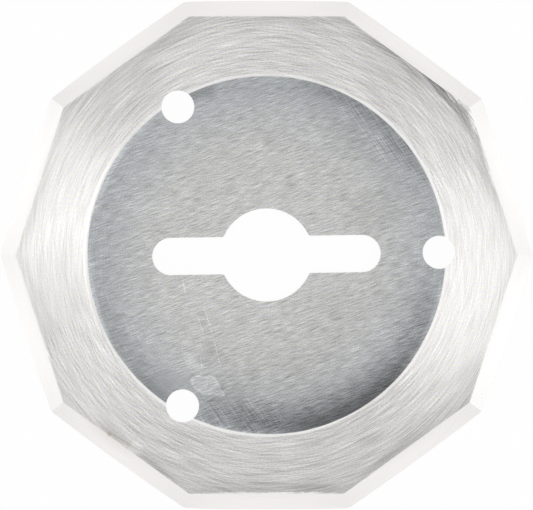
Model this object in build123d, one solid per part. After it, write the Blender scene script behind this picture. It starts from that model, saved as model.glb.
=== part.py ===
from build123d import *
import math
import os

# Ten-edged shear blade. Lengths are in millimetres and angles in degrees. The blade lies on its
# flat back at Z = 0 with its bevelled side up, the bore on the Z axis and the drive slot along X.

# Cutting edges
EDGE_COUNT = 10
EDGE_FLATS = 54.6        # across two opposite edges, at their middles
EDGE_CROWN = 0.15        # how far each edge bows out past the straight line between its corners
EDGE_TURN = -0.9         # turn of the ring of edges from the drive slot
EDGE_LAND = 0.05         # square height left at the cutting edge
TIP_RADIUS = 1.2         # blunted tip where two edges meet
BEVEL_WIDTH = 1.75       # ground bevel, at the middle of an edge

# Ground ring and recess
THICKNESS = 1.2
RECESS_FLOOR_DIAMETER = 38.4
RECESS_WALL_RUN = 0.45   # how far the wall runs outwards as it rises
RECESS_DEPTH = 0.2

# Drive opening
BORE_DIAMETER = 10.0
SLOT_LENGTH = 24.5
SLOT_WIDTH = 4.0
SLOT_CORNER_RADIUS = 0.3

# Pin holes
PIN_HOLE_COUNT = 3
PIN_HOLE_DIAMETER = 3.55
PIN_CIRCLE_DIAMETER = 37.0


def polar(radius, angle):
    return (radius * math.cos(math.radians(angle)), radius * math.sin(math.radians(angle)))


def edge_outline():
    """Outline at the cutting edges: equal shallow arcs that meet at sharp corners."""
    pitch = 360 / EDGE_COUNT
    middle_radius = EDGE_FLATS / 2
    corner_radius = (middle_radius - EDGE_CROWN) / math.cos(math.radians(pitch / 2))
    arc = ThreePointArc(
        polar(corner_radius, 0), polar(middle_radius, pitch / 2), polar(corner_radius, pitch)
    )
    arcs = [arc.rotate(Axis.Z, number * pitch) for number in range(EDGE_COUNT)]
    return make_face(Wire(arcs))


def bevel_outline():
    """Outline where the bevels meet the ring: a straight-sided polygon."""
    apothem = EDGE_FLATS / 2 - BEVEL_WIDTH
    return RegularPolygon(apothem, EDGE_COUNT, major_radius=False)


def bevelled_blank():
    """Plate whose edges are ground from the ring down to the back, one ruled bevel to an edge."""
    outline = edge_outline()
    edge_land = extrude(outline, EDGE_LAND)
    bevels = loft([Pos(Z=EDGE_LAND) * outline, Pos(Z=THICKNESS) * bevel_outline()], ruled=True)
    blunted = extrude(fillet(outline.vertices(), TIP_RADIUS), THICKNESS)
    return Rot(Z=EDGE_TURN) * ((edge_land + bevels) & blunted)


def recess():
    """Shallow round recess in the bevelled side, whose wall rolls over smoothly into the ring."""
    floor_radius = RECESS_FLOOR_DIAMETER / 2
    floor_z = THICKNESS - RECESS_DEPTH
    rim = (floor_radius + RECESS_WALL_RUN, THICKNESS)
    wall = TangentArc(rim, (floor_radius, floor_z), tangent=(-1, 0))
    rest = Polyline((floor_radius, floor_z), (0, floor_z), (0, THICKNESS), rim)
    return revolve(Plane.XZ * make_face([wall, rest]), Axis.Z)


def drive_opening():
    """Bore with a round-ended slot across it, through the blade."""
    opening = Circle(BORE_DIAMETER / 2) + SlotOverall(SLOT_LENGTH, SLOT_WIDTH)
    corners = opening.vertices().sort_by_distance((0, 0, 0))[:4]
    return extrude(fillet(corners, SLOT_CORNER_RADIUS), THICKNESS)


def pin_holes():
    """Holes for the drive pins, the first on the slot's line."""
    circle = PolarLocations(PIN_CIRCLE_DIAMETER / 2, PIN_HOLE_COUNT)
    holes = Sketch() + circle * Circle(PIN_HOLE_DIAMETER / 2)
    return extrude(holes, THICKNESS)


shear_blade = bevelled_blank() - recess() - drive_opening() - pin_holes()

os.makedirs("parts", exist_ok=True)
export_step(shear_blade, "parts/shear_blade.step")
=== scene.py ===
"""Looks of the ten-edged shear blade: its worn ground steel, a pale floor, a soft sky and a camera."""
import math

import bpy
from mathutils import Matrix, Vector

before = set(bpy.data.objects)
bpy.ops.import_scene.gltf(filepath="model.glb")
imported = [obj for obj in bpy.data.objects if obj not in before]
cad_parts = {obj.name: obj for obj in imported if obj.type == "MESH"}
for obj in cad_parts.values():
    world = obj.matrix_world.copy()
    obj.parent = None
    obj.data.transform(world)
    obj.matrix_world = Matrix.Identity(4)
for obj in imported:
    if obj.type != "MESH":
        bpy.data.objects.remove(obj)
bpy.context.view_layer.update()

MM = 0.001

# Places on the blade, in millimetres and degrees of the row frame
EDGE_COUNT = 10
EDGE_TURN = -0.9
RING_Z = 1.2
BEVEL_APOTHEM = 25.55      # from the centre to the boundary of ring and bevel, at the middle of an edge
RING_MIDDLE_R = 22.0
RIM_R = 19.65              # where the ring ends and the recess wall begins
RECESS_R = 19.2            # the recess floor
RECESS_Z = 1.0
RECESS_GRAIN = 15.6        # azimuth of the brush marks
SHADE_AZIMUTH = 294        # dark crescent by the recess wall
SHADE_CENTRE = (0.3, 1.0)
NARROW_LIP_AZIMUTH = 298   # where the bright lip is narrowest
BURN_AZIMUTH = 46          # burnt corner
PANEL_AZIMUTH = -8         # one of the sky's two panels, the other being opposite

# Steel, as linear colours
RING_STEEL = (0.724, 0.712, 0.699, 1.0)
RECESS_STEEL = (0.660, 0.657, 0.646, 1.0)
RECESS_EDGE_STEEL = (0.632, 0.657, 0.672, 1.0)
BEVEL_STEEL = (0.92, 0.904, 0.893, 1.0)
BROWN = (0.42, 0.30, 0.18, 1.0)

# Sky, as linear colours: dim at the horizon and overhead, with a panel and a bright strip on either side
HORIZON_SKY = (0.58, 0.58, 0.59, 1.0)
LOW_SKY = (1.075, 1.067, 1.061, 1.0)
TOP_SKY = (0.736, 0.740, 0.747, 1.0)
PANEL_FOOT = (1.32, 1.32, 1.32, 1.0)
PANEL_HEAD = (0.93, 0.93, 0.93, 1.0)

# Strip lights: colour, lower and upper edge as heights on a unit sphere, and softness of the edges
RIGHT_STRIP = ((5.35, 5.33, 5.29, 1.0), 0.79, 0.89, 0.05)
LEFT_STRIP = ((5.10, 5.08, 5.04, 1.0), 0.94, 0.966, 0.02)

# Thin light scratches on the recess floor, from end to end
SCRATCHES = (
    ((-6.95, -4.8), (-5.76, -9.0)),
    ((-5.85, -8.7), (-5.1, -12.0)),
    ((-7.52, -6.2), (-6.85, -8.5)),
    ((-7.3, -10.6), (-7.0, -12.4)),
    ((-9.1, -2.1), (-8.7, -4.2)),
)

# The two lobes of the pale stain, each a convex outline counted clockwise
STAIN = (
    (
        (-8.3, -13.0), (-7.7, -12.75), (-6.7, -12.8), (-6.4, -14.9),
        (-7.0, -14.9), (-8.0, -14.15), (-8.35, -13.6),
    ),
    (
        (-6.7, -12.9), (-6.3, -12.7), (-5.75, -12.95), (-5.35, -13.5),
        (-4.65, -15.0), (-4.8, -15.1), (-6.9, -14.85),
    ),
)

# Single patches: centre, half sizes, angle and softness
SMUDGE = ((-10.6, -13.9), (2.4, 1.7), -12, 0.08)
VEIL = ((-8.1, -11.6), (1.7, 0.6), -58, 0.12)
HATCHED = (
    ((-3.4, -17.6), (4.6, 2.0), 0, 0.5),
    ((12.9, 13.2), (8.5, 2.1), -45, 0.5),
)
SMEAR = ((-14.4, -20.6), (0.9, 0.7), 50, 0.3)
SPECK = ((-17.15, -18.95), (0.3, 0.2), -35, 0.5)
BROWN_TINT = ((-16.9, -19.4), (2.6, 0.7), -36, 0.7)

# Soft patches of tone: centre, half sizes, angle, and tone at the middle
RING_PATCHES = (
    ((-15.2, 16.6), (5.6, 3.2), 49, 0.84),
    ((-21.6, -5.4), (6.5, 3.2), 102, 0.86),
    ((-24.6, -5.5), (7.0, 1.2), 107, 0.92),
    ((-25.2, 5.0), (5.0, 0.9), 71, 0.94),
    ((23.9, 10.0), (5.5, 1.4), -73, 0.82),
    ((12.3, -17.9), (9.0, 3.0), 35, 0.92),
    ((11.3, 22.9), (5.5, 0.9), -37, 0.96),
    ((17.5, 18.1), (2.4, 0.55), -37, 0.84),
    ((13.3, -21.5), (4.0, 0.5), 35, 0.87),
    ((-12.1, -22.7), (2.4, 0.35), -37, 0.82),
    ((5.1, -25.1), (2.0, 0.5), -1, 0.86),
    ((3.5, 25.1), (4.0, 0.5), -1, 0.9),
    ((16.5, -19.7), (7.5, 1.8), 35, 0.88),
    ((0.5, -25.0), (8.0, 0.8), 0, 0.9),
    ((21.8, -14.5), (3.5, 1.8), 60, 0.88),
    ((-9.2, 23.8), (3.2, 0.9), 38, 0.86),
    ((-20.6, 16.5), (3.0, 1.4), 60, 0.9),
    ((10.3, -20.1), (1.3, 0.6), 25, 0.92),
    ((14.4, 18.6), (3.2, 1.1), -38, 0.9),
    ((20.4, 10.6), (4.5, 1.6), -62, 0.95),
)
RECESS_PATCHES = (
    ((10.9, 13.3), (8.5, 2.8), -42, 0.88),
    ((-12.9, -12.6), (5.5, 1.5), -45, 0.92),
    ((2.0, -13.8), (9.0, 3.5), 5, 0.93),
    ((-4.2, -15.0), (3.0, 1.8), -15, 0.9),
    ((-6.2, -10.6), (1.2, 1.0), 0, 0.88),
    ((-7.5, -13.3), (0.6, 0.7), 0, 0.91),
    ((-16.6, -1.5), (1.8, 6.0), 0, 0.95),
    ((16.2, -4.6), (1.8, 4.0), -16, 0.9),
    ((0.0, 17.3), (6.0, 1.2), 0, 0.95),
    ((11.6, 4.8), (3.0, 2.2), 20, 0.92),
    ((7.0, -6.6), (4.2, 2.8), 15, 0.95),
    ((-11.4, 5.9), (3.0, 1.4), 15, 1.05),
    ((-8.7, -4.9), (2.6, 2.0), 15, 1.05),
)

# Where the ring's boundary with the bevel is worn bright: azimuth, half width, start and full distance out
WORN_TONE = 1.33
WORN_BOUNDARY = (
    (20.5, 7, 25.25, 25.75),
    (35, 7, 24.95, 25.6),
    (-90, 17, 25.36, 25.44),
)

# Arcs round the centre: azimuth, half width, radii where it starts and is full, and tone
# Painted highlight on the ring just outside the lip
RING_LIP_HIGHLIGHT_ARCS = (
    (96, 50, 19.4, 19.8, 1.055),
    (192, 36, 19.4, 19.8, 1.07),
)
# Painted highlight along the lip, dimmed or raised in arcs
LIP_HIGHLIGHT_TONE = 1.305
LIP_HIGHLIGHT_ARCS = (
    (355, 70, 19.1, 19.2, 1.045),
    (36, 36, 19.1, 19.2, 1.12),
    (176, 54, 19.1, 19.2, 0.85),
    (258, 50, 19.1, 19.2, 1.14),
    (190, 26, 19.3, 19.45, 0.80),
)
# Painted shade and painted highlights on the recess floor by the wall
RECESS_WALL_LIGHT_AND_SHADE_ARCS = (
    (52, 30, 17.2, 18.8, 0.76),
    (113, 9, 17.6, 18.8, 0.72),
    (18, 20, 18.8, 19.15, 1.12),
    (148, 26, 18.3, 19.2, 1.28),
    (192, 20, 18.5, 19.2, 1.36),
    (214, 24, 16.2, 18.2, 0.88),
    (212, 18, 18.8, 19.15, 1.15),
    (228, 12, 17.8, 18.8, 0.86),
    (262, 18, 18.4, 19.2, 1.5),
    (300, 24, 17.5, 18.8, 0.68),
    (334, 20, 18.6, 19.15, 1.34),
)


class Graph:
    """Adds nodes to one shader tree and links them, so that a formula reads as one."""

    def __init__(self, tree):
        self.tree = tree
        tree.nodes.clear()

    def node(self, kind, inputs=None, **settings):
        made = self.tree.nodes.new(kind)
        for name, value in settings.items():
            setattr(made, name, value)
        for key, value in (inputs or {}).items():
            self.feed(made.inputs[key], value)
        return made

    def feed(self, socket, value):
        if isinstance(value, bpy.types.NodeSocket):
            self.tree.links.new(value, socket)
        else:
            socket.default_value = value

    def math(self, operation, a, b=0.0, c=0.0):
        return self.node("ShaderNodeMath", {0: a, 1: b, 2: c}, operation=operation).outputs[0]

    def product(self, first, *rest):
        for factor in rest:
            first = self.math("MULTIPLY", first, factor)
        return first

    def weighted(self, *pairs):
        """Sum of values, each given with its weight."""
        value, weight = pairs[0]
        result = self.math("MULTIPLY", value, weight)
        for value, weight in pairs[1:]:
            result = self.math("MULTIPLY_ADD", value, weight, result)
        return result

    def vector(self, operation, a, b=(0.0, 0.0, 0.0)):
        made = self.node("ShaderNodeVectorMath", {0: a, 1: b}, operation=operation)
        return made.outputs["Value" if operation in ("LENGTH", "DOT_PRODUCT") else "Vector"]

    def scale(self, vector, factor):
        made = self.node("ShaderNodeVectorMath", {0: vector, "Scale": factor}, operation="SCALE")
        return made.outputs["Vector"]

    def combine(self, x, y, z=0.0):
        return self.node("ShaderNodeCombineXYZ", {0: x, 1: y, 2: z}).outputs[0]

    def step(self, value, low, high):
        """0 up to low and 1 from high, smooth between them; it falls where low is above high."""
        start, end = (0.0, 1.0) if low < high else (1.0, 0.0)
        limits = {"From Min": min(low, high), "From Max": max(low, high), "To Min": start, "To Max": end}
        return self.node(
            "ShaderNodeMapRange", {"Value": value, **limits}, interpolation_type="SMOOTHSTEP"
        ).outputs["Result"]

    def span(self, value, low, high):
        """Maps 0 to low and 1 to high, on a straight line."""
        return self.math("MULTIPLY_ADD", value, high - low, low)

    def noise(self, vector, detail):
        """Noise about zero, some 0.5 at its furthest."""
        made = self.node("ShaderNodeTexNoise", {"Vector": vector, "Scale": 1.0, "Detail": detail})
        return self.math("SUBTRACT", made.outputs["Fac"], 0.5)

    def mix(self, factor, a, b, kind="RGBA"):
        made = self.node("ShaderNodeMix", data_type=kind)
        for socket in made.inputs:
            if socket.enabled and socket.name in ("Factor", "A", "B"):
                self.feed(socket, {"Factor": factor, "A": a, "B": b}[socket.name])
        return next(socket for socket in made.outputs if socket.enabled)


def unit(angle):
    """Level direction at an azimuth."""
    a = math.radians(angle)
    return (math.cos(a), math.sin(a), 0.0)


def turned(g, flat, angle, along, across, third=0.0):
    """The flat place in axes turned by an angle, each counted in steps of its own length."""
    lengthwise = g.vector("DOT_PRODUCT", flat, Vector(unit(angle)) / along)
    widthwise = g.vector("DOT_PRODUCT", flat, Vector(unit(angle + 90)) / across)
    return g.combine(lengthwise, widthwise, third)


def straight_marks(g, flat, angle, length, width, seed, detail=0.0):
    return g.noise(turned(g, flat, angle, length, width, seed), detail)


def round_marks(g, flat, centre, length, width, seed, detail=0.0):
    """Marks that run round a centre near the blade's own, of their full length at the ring's middle."""
    arm = g.vector("SUBTRACT", flat, (*centre, 0.0))
    around = g.scale(g.vector("NORMALIZE", arm), RING_MIDDLE_R / length)
    out = g.math("MULTIPLY_ADD", g.vector("LENGTH", arm), 1 / width, seed)
    return g.noise(g.vector("ADD", around, g.combine(0.0, 0.0, out)), detail)


def mottle(g, flat, size, seed, detail=0.0):
    return straight_marks(g, flat, 0, size, size, seed, detail)


def distance(g, flat, centre):
    return g.vector("LENGTH", g.vector("SUBTRACT", flat, (*centre, 0.0)))


def patch(g, flat, centre, size, angle, soft):
    """1 inside an oval given by its half sizes, 0 outside it."""
    arm = g.vector("SUBTRACT", flat, (*centre, 0.0))
    reach = g.vector("LENGTH", turned(g, arm, angle, *size))
    return g.step(reach, 1.0 + soft, 1.0 - soft)


def patches(g, flat, rows):
    """Soft patches as one factor: 1 away from them, and each one's tone at its middle."""
    return g.product(*(g.span(patch(g, flat, *place, soft=0.6), 1.0, tone) for *place, tone in rows))


def facing(g, at, azimuth, reach):
    """1 towards an azimuth, 0 beyond its reach in degrees on either side."""
    ahead = g.vector("DOT_PRODUCT", at["outward"], unit(azimuth))
    return g.step(ahead, math.cos(math.radians(reach)), math.cos(math.radians(reach / 3)))


def arcs(g, at, rows):
    """Soft arcs round the centre as one factor: 1 away from them, and each one's tone at its middle."""
    factors = []
    for azimuth, reach, start, full, tone in rows:
        inside = g.math("MULTIPLY", facing(g, at, azimuth, reach), g.step(at["radius"], start, full))
        factors.append(g.span(inside, 1.0, tone))
    return g.product(*factors)


def scratch(g, flat, start, end, width):
    """A straight scratch between two points, fading at its ends."""
    way = Vector(end) - Vector(start)
    angle = math.degrees(math.atan2(way.y, way.x))
    arm = turned(g, g.vector("SUBTRACT", flat, (*start, 0.0)), angle, way.length, width)
    along, aside, _ = g.node("ShaderNodeSeparateXYZ", {0: arm}).outputs
    line = g.step(g.math("ABSOLUTE", aside), 1.0, 0.0)
    return g.product(line, g.step(along, 0.0, 0.25), g.step(along, 1.0, 0.75))


def depth_inside(g, flat, corners):
    """Distance in from the nearest side of a convex outline, its corners given clockwise."""
    depth = 1000.0
    for start, end in zip(corners, corners[1:] + corners[:1]):
        along = (Vector(end) - Vector(start)).normalized()
        inward = (along.y, -along.x, 0.0)
        offset = inward[0] * start[0] + inward[1] * start[1]
        side = g.math("SUBTRACT", g.vector("DOT_PRODUCT", flat, inward), offset)
        depth = g.math("MINIMUM", depth, side)
    return depth


def blade_places(g):
    """The place on the blade in millimetres, and where it lies towards the centre, edges and panels."""
    place = g.scale(g.node("ShaderNodeTexCoord").outputs["Object"], 1 / MM)
    x, y, z = g.node("ShaderNodeSeparateXYZ", {0: place}).outputs
    flat = g.combine(x, y)
    radius = g.vector("LENGTH", flat)
    outward = g.vector("NORMALIZE", flat)
    pitch = math.radians(360 / EDGE_COUNT)
    turn = g.math("SUBTRACT", g.math("ARCTAN2", y, x), math.radians(EDGE_TURN))
    from_middle = g.math("SUBTRACT", g.math("FLOORED_MODULO", turn, pitch), pitch / 2)
    uneven = g.combine(mottle(g, flat, 0.5, 13.0, 2.0), mottle(g, flat, 0.5, 57.0, 2.0))
    return {
        "flat": flat,
        "ragged": g.vector("ADD", flat, g.scale(uneven, 0.25)),
        "z": z,
        "radius": radius,
        "outward": outward,
        "apothem": g.math("MULTIPLY", radius, g.math("COSINE", from_middle)),
        "sideways": g.math("ABSOLUTE", g.vector("DOT_PRODUCT", outward, unit(PANEL_AZIMUTH))),
    }


def recess_shade(g, at):
    """1 in the painted shade: a dark crescent at one side of the recess floor."""
    ahead = g.vector("DOT_PRODUCT", at["outward"], unit(SHADE_AZIMUTH))
    out = distance(g, at["flat"], SHADE_CENTRE)
    return g.product(g.step(ahead, 0.5, 1.0), g.step(out, 15.4, 19.3))


def recess_grain(g, at, shade, smudge):
    """Short straight brush marks with a little grit, faint in the smudge."""
    flat = at["flat"]
    marks = g.weighted(
        (straight_marks(g, flat, RECESS_GRAIN - 3, 1.25, 0.08, 3.0, 1.0), 1.3),
        (straight_marks(g, flat, RECESS_GRAIN + 11, 1.6, 0.1, 19.0), 0.5),
        (straight_marks(g, flat, RECESS_GRAIN + 2, 3.8, 0.12, 31.0), 0.4),
        (mottle(g, flat, 2.0, 47.0), 0.14),
        (mottle(g, flat, 0.8, 7.0, 1.0), 0.12),
        (mottle(g, flat, 0.13, 9.0), 0.55),
    )
    return g.product(marks, g.span(shade, 0.92, 1.4), g.span(smudge, 1.0, 0.5))


def recess_wear_and_painted_light(g, at, shade, smudge):
    """Tone of the recess floor: painted shade towards the wall and in the crescent, painted shade and
    highlights in arcs by the wall, the stain, scratches and hatching.
    """
    flat, radius = at["flat"], at["radius"]
    # Painted shade: darker towards the recess wall and in the crescent, with arcs of painted shade and
    # highlight by the wall
    reach = g.math("POWER", g.math("DIVIDE", radius, RECESS_R), 3.2)
    wall_shade_and_highlights = g.product(g.span(reach, 1.0, 0.73), g.span(shade, 1.0, 0.47), arcs(g, at, RECESS_WALL_LIGHT_AND_SHADE_ARCS))

    left, right = (depth_inside(g, at["ragged"], lobe) for lobe in STAIN)
    stain_depth = g.math("MAXIMUM", left, right)
    stain = g.step(stain_depth, 0.0, 0.08)
    stain_edge = g.math("MULTIPLY", stain, g.step(stain_depth, 0.3, 0.1))

    veil = patch(g, at["ragged"], *VEIL)
    strokes = g.step(round_marks(g, flat, (0.0, 0.0), 3.5, 0.09, 23.0), 0.1, 0.22)
    hatched = g.math("MAXIMUM", *(patch(g, flat, *place) for place in HATCHED))
    hatch = straight_marks(g, flat, -57, 4.5, 0.09, 61.0)
    light = g.weighted(
        (g.math("MULTIPLY", strokes, g.step(radius, 14.5, 17.8)), 0.15),
        (g.math("MULTIPLY", hatch, hatched), 0.8),
        (g.math("MULTIPLY", g.step(hatch, 0.1, 0.2), hatched), 0.27),
        *((scratch(g, flat, *ends, 0.09), 0.27) for ends in SCRATCHES),
    )
    return g.product(
        wall_shade_and_highlights,
        patches(g, flat, RECESS_PATCHES),
        g.math("ADD", light, 1.0),
        g.span(smudge, 1.0, 0.92),
        g.span(veil, 1.0, 1.09),
        g.span(stain, 1.0, 1.24),
        g.span(stain_edge, 1.0, 1.07),
    )


def ring_burn(g, at):
    """1 in the dark streaked band along the bevel by one corner."""
    streaks = round_marks(g, at["flat"], (2.0, 1.0), 6.0, 0.11, 53.0)
    ragged_radius = g.math("MULTIPLY_ADD", streaks, 1.8, at["radius"])
    return g.product(
        facing(g, at, BURN_AZIMUTH, 20),
        g.step(ragged_radius, 24.9, 25.7),
        g.step(at["radius"], 26.8, 25.9),
    )


def ring_grain(g, at, on_lip, burn):
    """Arcs of grinding round centres on and off the blade's own, faint towards the panels."""
    flat = at["flat"]
    cuts = g.step(round_marks(g, flat, (1.0, -1.2), 7.0, 0.1, 29.0), 0.14, 0.3)
    marks = g.weighted(
        (round_marks(g, flat, (0.0, 0.0), 3.0, 0.08, 5.0, 1.0), 1.25),
        (round_marks(g, flat, (3.2, -2.4), 4.5, 0.09, 41.0), 0.45),
        (round_marks(g, flat, (-2.9, 3.4), 4.5, 0.09, 83.0), 0.45),
        (round_marks(g, flat, (0.5, 0.6), 9.0, 0.2, 11.0), 0.1),
        (cuts, -0.15),
        (mottle(g, flat, 0.3, 15.0), 0.15),
        (mottle(g, flat, 0.13, 9.0), 0.6),
    )
    faint = g.span(g.step(at["sideways"], 0.82, 0.96), 0.75, 0.38)
    return g.product(marks, faint, g.span(on_lip, 1.0, 0.25), g.span(burn, 1.0, 2.5))


def ring_wear_and_painted_light(g, at, on_lip, burn):
    """Tone of the ring: darker by the bevel and in places, a painted highlight along the lip and just
    outside it, and bright along the worn boundary.
    """
    smear = patch(g, at["ragged"], *SMEAR)
    # Painted highlight along the lip
    lip = g.math("MULTIPLY", arcs(g, at, LIP_HIGHLIGHT_ARCS), LIP_HIGHLIGHT_TONE)
    tone = g.product(
        g.span(g.step(at["radius"], 22.8, 24.8), 1.0, 0.96),
        g.span(g.step(at["apothem"], BEVEL_APOTHEM - 1.15, BEVEL_APOTHEM - 0.15), 1.0, 0.93),
        g.span(g.step(at["apothem"], BEVEL_APOTHEM - 0.13, BEVEL_APOTHEM - 0.01), 1.0, 1.12),
        g.span(g.step(at["radius"], 25.5, 26.8), 1.0, 0.95),
        g.span(burn, 1.0, 0.54),
        g.span(smear, 1.0, 1.16),
        g.mix(on_lip, arcs(g, at, RING_LIP_HIGHLIGHT_ARCS), lip, "FLOAT"),
        patches(g, at["flat"], RING_PATCHES),
    )
    bristles = straight_marks(g, at["flat"], 50, 0.8, 0.11, 37.0)
    worn_out_to = g.math("MULTIPLY_ADD", bristles, 0.3, at["apothem"])
    for azimuth, reach, start, full in WORN_BOUNDARY:
        worn = g.math("MULTIPLY", facing(g, at, azimuth, reach), g.step(worn_out_to, start, full))
        tone = g.mix(worn, tone, WORN_TONE, "FLOAT")
    return tone


def steel_colour(g, at, in_recess, on_bevel):
    """Cooler towards the recess wall, brown in one place, and slightly mottled in hue."""
    recess = g.mix(g.step(at["radius"], 11.0, 19.0), RECESS_STEEL, RECESS_EDGE_STEEL)
    colour = g.mix(on_bevel, g.mix(in_recess, RING_STEEL, recess), BEVEL_STEEL)
    speck = patch(g, at["ragged"], *SPECK)
    tint = patch(g, at["flat"], *BROWN_TINT)
    colour = g.mix(g.math("MULTIPLY", speck, 0.35), colour, BROWN)
    colour = g.mix(g.math("MULTIPLY", tint, 0.1), colour, BROWN)
    hue = g.product(mottle(g, at["flat"], 0.25, 71.0), 0.17, g.span(on_bevel, 1.0, 0.3))
    cast = g.combine(1.0, g.math("SUBTRACT", 1.0, hue), g.math("ADD", 1.0, hue))
    return g.vector("MULTIPLY", colour, cast)


def ground_steel():
    material = bpy.data.materials.new("worn_ground_steel")
    material.use_nodes = True
    g = Graph(material.node_tree)
    shader = g.node("ShaderNodeBsdfPrincipled", {"Metallic": 1.0, "Anisotropic": 0.75})
    g.node("ShaderNodeOutputMaterial", {"Surface": shader.outputs[0]})
    at = blade_places(g)

    narrowing = facing(g, at, NARROW_LIP_AZIMUTH, 34)
    wall_radius = g.math("MULTIPLY_ADD", narrowing, -0.08, at["radius"])
    inside_wall = g.step(wall_radius, RECESS_R + 0.02, RECESS_R - 0.1)
    past_floor = g.step(wall_radius, RECESS_R - 0.1, RECESS_R + 0.02)
    in_recess = g.math("MULTIPLY", inside_wall, g.step(at["z"], RECESS_Z - 0.1, RECESS_Z - 0.02))
    below_ring = g.step(at["z"], RING_Z - 0.002, RING_Z - 0.01)
    past_ring = g.step(at["apothem"], BEVEL_APOTHEM - 0.02, BEVEL_APOTHEM + 0.04)
    on_bevel = g.math("MULTIPLY", past_ring, below_ring)
    on_lip = g.math("MULTIPLY", past_floor, g.step(at["radius"], RIM_R - 0.03, RIM_R - 0.33))
    smudge = patch(g, at["ragged"], *SMUDGE)
    shade = recess_shade(g, at)
    burn = ring_burn(g, at)

    on_ring = ring_grain(g, at, on_lip, burn)
    grain = g.mix(in_recess, on_ring, recess_grain(g, at, shade, smudge), "FLOAT")
    grain = g.math("MULTIPLY", grain, g.span(on_bevel, 1.0, 0.04))
    # The ring's tone includes a painted highlight along the lip and just outside it
    ring_tone = ring_wear_and_painted_light(g, at, on_lip, burn)
    # The recess floor's tone includes painted shade and painted highlights by the wall
    tone = g.mix(in_recess, ring_tone, recess_wear_and_painted_light(g, at, shade, smudge), "FLOAT")
    tone = g.math("MULTIPLY", g.mix(on_bevel, tone, 1.0, "FLOAT"), g.math("ADD", grain, 1.0))

    roughness = g.mix(on_bevel, g.mix(in_recess, 0.42, 0.34, "FLOAT"), 0.22, "FLOAT")
    bump = g.node("ShaderNodeBump", {"Strength": 0.12, "Distance": 0.01 * MM, "Height": grain})
    g.feed(shader.inputs["Base Color"], g.scale(steel_colour(g, at, in_recess, on_bevel), tone))
    g.feed(shader.inputs["Roughness"], g.math("MULTIPLY_ADD", grain, -0.1, roughness))
    g.feed(shader.inputs["Normal"], bump.outputs[0])
    g.feed(shader.inputs["Tangent"], g.mix(in_recess, at["outward"], unit(RECESS_GRAIN + 90), "VECTOR"))
    return material


def shown_white(g):
    """1 for the rays that see the backdrop: from the camera, and off or through the object."""
    rays = g.node("ShaderNodeLightPath").outputs
    seen = g.math("MAXIMUM", rays["Is Camera Ray"], rays["Is Glossy Ray"])
    return g.math("MAXIMUM", seen, rays["Is Transmission Ray"])


def pale_floor():
    bpy.ops.mesh.primitive_plane_add(size=20.0)
    floor = bpy.context.object
    floor.name = "pale_floor"
    material = bpy.data.materials.new("pale_floor")
    material.use_nodes = True
    g = Graph(material.node_tree)
    lit = g.node("ShaderNodeBsdfDiffuse", {"Color": (0.8, 0.8, 0.8, 1.0)})
    white = g.node("ShaderNodeEmission", {"Color": (1.0, 1.0, 1.0, 1.0), "Strength": 1.0})
    share = g.math("MULTIPLY", shown_white(g), 0.95)
    surface = g.node("ShaderNodeMixShader", {0: share, 1: lit.outputs[0], 2: white.outputs[0]})
    g.node("ShaderNodeOutputMaterial", {"Surface": surface.outputs[0]})
    floor.data.materials.append(material)


def with_strip(g, height, sky, colour, low, high, soft):
    """The sky with a strip light across it, between its lower and upper edge."""
    lit = g.math("MULTIPLY", g.step(height, low, low + soft), g.step(height, high + soft, high))
    return g.mix(lit, sky, colour)


def studio_world():
    """An open sky with a panel and a strip light on either side, seen as plain white by the camera."""
    world = bpy.data.worlds.new("studio")
    bpy.context.scene.world = world
    world.use_nodes = True
    g = Graph(world.node_tree)
    direction = g.node("ShaderNodeTexCoord").outputs["Generated"]
    height = g.node("ShaderNodeSeparateXYZ", {0: direction}).outputs[2]
    level = g.vector("NORMALIZE", g.vector("MULTIPLY", direction, (1.0, 1.0, 0.0)))
    to_right = g.vector("DOT_PRODUCT", level, unit(PANEL_AZIMUTH))
    sky = g.mix(g.step(height, 0.4, 0.98), LOW_SKY, TOP_SKY)
    panel = g.mix(g.step(height, 0.42, 0.56), PANEL_FOOT, PANEL_HEAD)
    panel = g.mix(g.step(height, 0.90, 0.99), panel, TOP_SKY)
    right = with_strip(g, height, panel, *RIGHT_STRIP)
    left = with_strip(g, height, panel, *LEFT_STRIP)
    sky = g.mix(g.step(to_right, 0.77, 0.96), sky, right)
    sky = g.mix(g.step(to_right, -0.77, -0.96), sky, left)
    sky = g.mix(g.step(height, 0.16, 0.32), HORIZON_SKY, sky)
    rays = g.node("ShaderNodeLightPath").outputs
    colour = g.mix(rays["Is Camera Ray"], sky, (1.0, 1.0, 1.0, 1.0))
    background = g.node("ShaderNodeBackground", {"Color": colour})
    g.node("ShaderNodeOutputWorld", {"Surface": background.outputs[0]})


def camera():
    """Looks straight down with a long lens, turned so that the ring of edges stands square."""
    lens = bpy.data.cameras.new("camera")
    lens.lens = 400.0
    lens.sensor_width = 36.0
    frame_width = 57.19 * MM
    eye = bpy.data.objects.new("camera", lens)
    eye.location = (0.0, 0.0, frame_width * lens.lens / lens.sensor_width)
    eye.rotation_euler = (0.0, 0.0, math.radians(EDGE_TURN))
    bpy.context.scene.collection.objects.link(eye)
    bpy.context.scene.camera = eye


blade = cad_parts["shear_blade"]
blade.material_slots[0].material = ground_steel()
pale_floor()
studio_world()
camera()
bpy.context.scene.view_settings.view_transform = "Standard"
